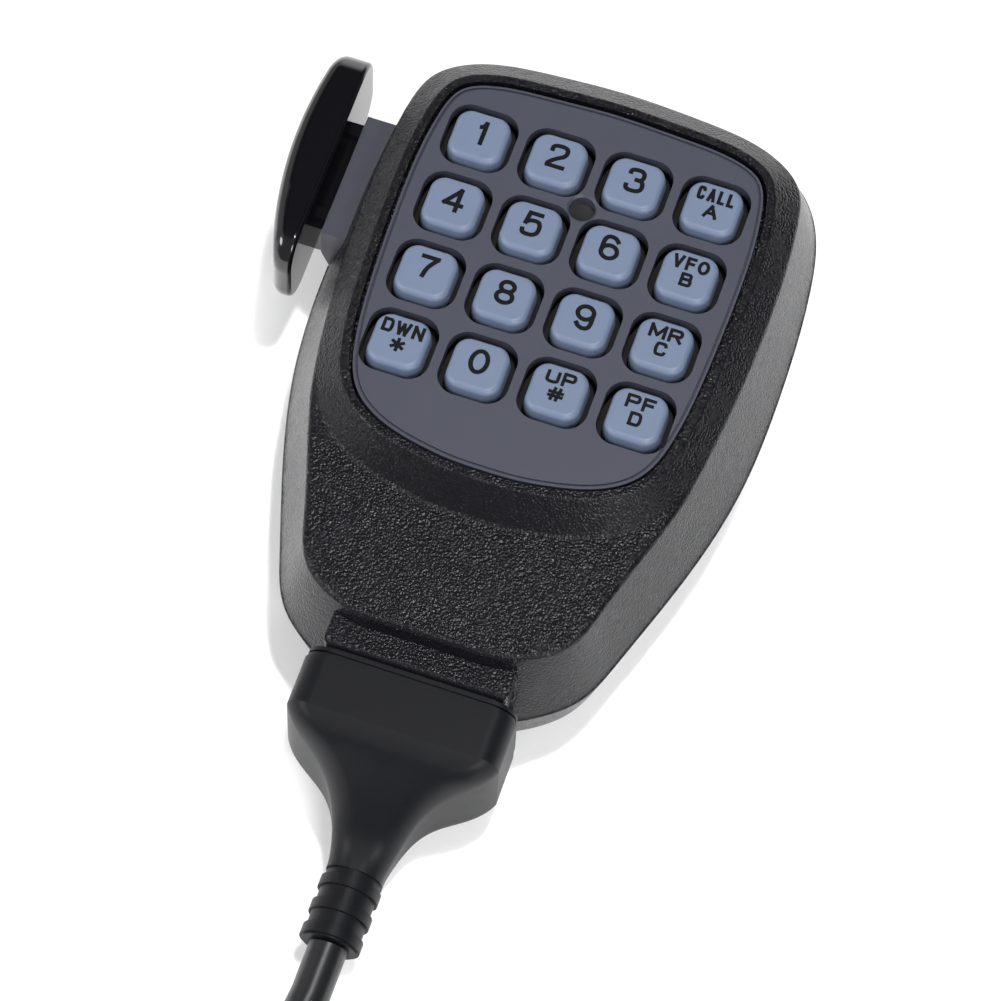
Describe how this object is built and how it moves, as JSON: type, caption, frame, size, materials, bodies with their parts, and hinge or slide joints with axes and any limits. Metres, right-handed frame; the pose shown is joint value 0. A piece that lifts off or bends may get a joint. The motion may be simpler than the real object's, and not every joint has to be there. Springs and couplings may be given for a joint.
{
  "type": "hand microphone",
  "caption": "Hand microphone for a mobile radio: keypad face, side talk bar, rubber boot, and a cable coiled for storage with its modular plug.",
  "frame": {"origin": "centre of the hang-up stud's end face, on which the microphone lies", "axes": "+X to the right as the keys are read, +Y towards the top of the microphone, +Z out of the keys"},
  "size_m": [0.0954, 0.2122, 0.031],
  "materials": {
    "case_black": "moulded ABS with a fine leather grain",
    "panel_grey": "satin painted polycarbonate",
    "key_cap": "smooth blue-grey silicone key caps",
    "silicone_black": "matt black silicone rubber",
    "board_green": "green solder mask",
    "contact_gold": "gold plated",
    "led_white": "frosted resin",
    "chip_black": "moulded epoxy",
    "tinned_metal": "tinned",
    "capacitor_sleeve": "shrunk sleeve",
    "nylon_white": "natural nylon",
    "screw_steel": "zinc plated",
    "bar_gloss": "polished black ABS",
    "slider_grey": "matt grey acetal",
    "stud_nickel": "nickel plated",
    "cable_black": "semi-gloss PVC sheath",
    "boot_rubber": "matt black rubber",
    "wire_pvc": "coloured PVC",
    "tie_fabric": "woven hook-and-loop strap",
    "plug_clear": "clear polycarbonate"
  },
  "bodies": {
    "case": {"front_case": "case_black", "rear_case": "case_black", "keypad_panel": "panel_grey", "keypad_mat": "silicone_black", "circuit_board": "board_green", "key_contacts": "contact_gold", "backlight_leds": "led_white", "tone_chip": "chip_black", "chip_legs": "tinned_metal", "crystal": "tinned_metal", "capacitors": "capacitor_sleeve", "resistors": "chip_black", "board_connector": "nylon_white", "lead_plug": "nylon_white", "board_screws": "screw_steel", "mic_capsule": "tinned_metal", "mic_grommet": "silicone_black", "mic_mesh": "silicone_black", "ptt_springs": "screw_steel", "ptt_switch": "chip_black", "case_screws": "screw_steel", "hanger_stud": "stud_nickel", "hanger_screw": "screw_steel", "lead_in": "cable_black", "cable_boot": "boot_rubber", "cable_clamp": "case_black", "clamp_screws": "screw_steel", "inner_leads": "wire_pvc", "cable": "cable_black", "cable_coil": "cable_black", "cable_tail": "cable_black", "cable_tie": "tie_fabric", "plug_body": "plug_clear", "plug_contacts": "contact_gold", "plug_latch": "plug_clear"},
    "talk_bar": {"ptt_paddle": "bar_gloss", "ptt_stem": "slider_grey"},
    "key_1_cap": {"key_1": "key_cap"},
    "key_2_cap": {"key_2": "key_cap"},
    "key_3_cap": {"key_3": "key_cap"},
    "key_a_cap": {"key_a": "key_cap"},
    "key_4_cap": {"key_4": "key_cap"},
    "key_5_cap": {"key_5": "key_cap"},
    "key_6_cap": {"key_6": "key_cap"},
    "key_b_cap": {"key_b": "key_cap"},
    "key_7_cap": {"key_7": "key_cap"},
    "key_8_cap": {"key_8": "key_cap"},
    "key_9_cap": {"key_9": "key_cap"},
    "key_c_cap": {"key_c": "key_cap"},
    "key_star_cap": {"key_star": "key_cap"},
    "key_0_cap": {"key_0": "key_cap"},
    "key_hash_cap": {"key_hash": "key_cap"},
    "key_d_cap": {"key_d": "key_cap"}
  },
  "joints": [
    {"name": "talk_press", "type": "slide", "parent": "case", "child": "talk_bar", "axis": [1, 0, 0], "range_m": [0, 0.0022], "stiffness_N_per_m": 1200, "springref_m": -0.001, "deforming": ["ptt_springs"]},
    {"name": "key_1_press", "type": "slide", "parent": "case", "child": "key_1_cap", "axis": [0, 0, -1], "range_m": [0, 0.0008], "stiffness_N_per_m": 1200, "springref_m": -0.0004},
    {"name": "key_2_press", "type": "slide", "parent": "case", "child": "key_2_cap", "axis": [0, 0, -1], "range_m": [0, 0.0008], "stiffness_N_per_m": 1200, "springref_m": -0.0004},
    {"name": "key_3_press", "type": "slide", "parent": "case", "child": "key_3_cap", "axis": [0, 0, -1], "range_m": [0, 0.0008], "stiffness_N_per_m": 1200, "springref_m": -0.0004},
    {"name": "key_a_press", "type": "slide", "parent": "case", "child": "key_a_cap", "axis": [0, 0, -1], "range_m": [0, 0.0008], "stiffness_N_per_m": 1200, "springref_m": -0.0004},
    {"name": "key_4_press", "type": "slide", "parent": "case", "child": "key_4_cap", "axis": [0, 0, -1], "range_m": [0, 0.0008], "stiffness_N_per_m": 1200, "springref_m": -0.0004},
    {"name": "key_5_press", "type": "slide", "parent": "case", "child": "key_5_cap", "axis": [0, 0, -1], "range_m": [0, 0.0008], "stiffness_N_per_m": 1200, "springref_m": -0.0004},
    {"name": "key_6_press", "type": "slide", "parent": "case", "child": "key_6_cap", "axis": [0, 0, -1], "range_m": [0, 0.0008], "stiffness_N_per_m": 1200, "springref_m": -0.0004},
    {"name": "key_b_press", "type": "slide", "parent": "case", "child": "key_b_cap", "axis": [0, 0, -1], "range_m": [0, 0.0008], "stiffness_N_per_m": 1200, "springref_m": -0.0004},
    {"name": "key_7_press", "type": "slide", "parent": "case", "child": "key_7_cap", "axis": [0, 0, -1], "range_m": [0, 0.0008], "stiffness_N_per_m": 1200, "springref_m": -0.0004},
    {"name": "key_8_press", "type": "slide", "parent": "case", "child": "key_8_cap", "axis": [0, 0, -1], "range_m": [0, 0.0008], "stiffness_N_per_m": 1200, "springref_m": -0.0004},
    {"name": "key_9_press", "type": "slide", "parent": "case", "child": "key_9_cap", "axis": [0, 0, -1], "range_m": [0, 0.0008], "stiffness_N_per_m": 1200, "springref_m": -0.0004},
    {"name": "key_c_press", "type": "slide", "parent": "case", "child": "key_c_cap", "axis": [0, 0, -1], "range_m": [0, 0.0008], "stiffness_N_per_m": 1200, "springref_m": -0.0004},
    {"name": "key_star_press", "type": "slide", "parent": "case", "child": "key_star_cap", "axis": [0, 0, -1], "range_m": [0, 0.0008], "stiffness_N_per_m": 1200, "springref_m": -0.0004},
    {"name": "key_0_press", "type": "slide", "parent": "case", "child": "key_0_cap", "axis": [0, 0, -1], "range_m": [0, 0.0008], "stiffness_N_per_m": 1200, "springref_m": -0.0004},
    {"name": "key_hash_press", "type": "slide", "parent": "case", "child": "key_hash_cap", "axis": [0, 0, -1], "range_m": [0, 0.0008], "stiffness_N_per_m": 1200, "springref_m": -0.0004},
    {"name": "key_d_press", "type": "slide", "parent": "case", "child": "key_d_cap", "axis": [0, 0, -1], "range_m": [0, 0.0008], "stiffness_N_per_m": 1200, "springref_m": -0.0004}
  ]
}
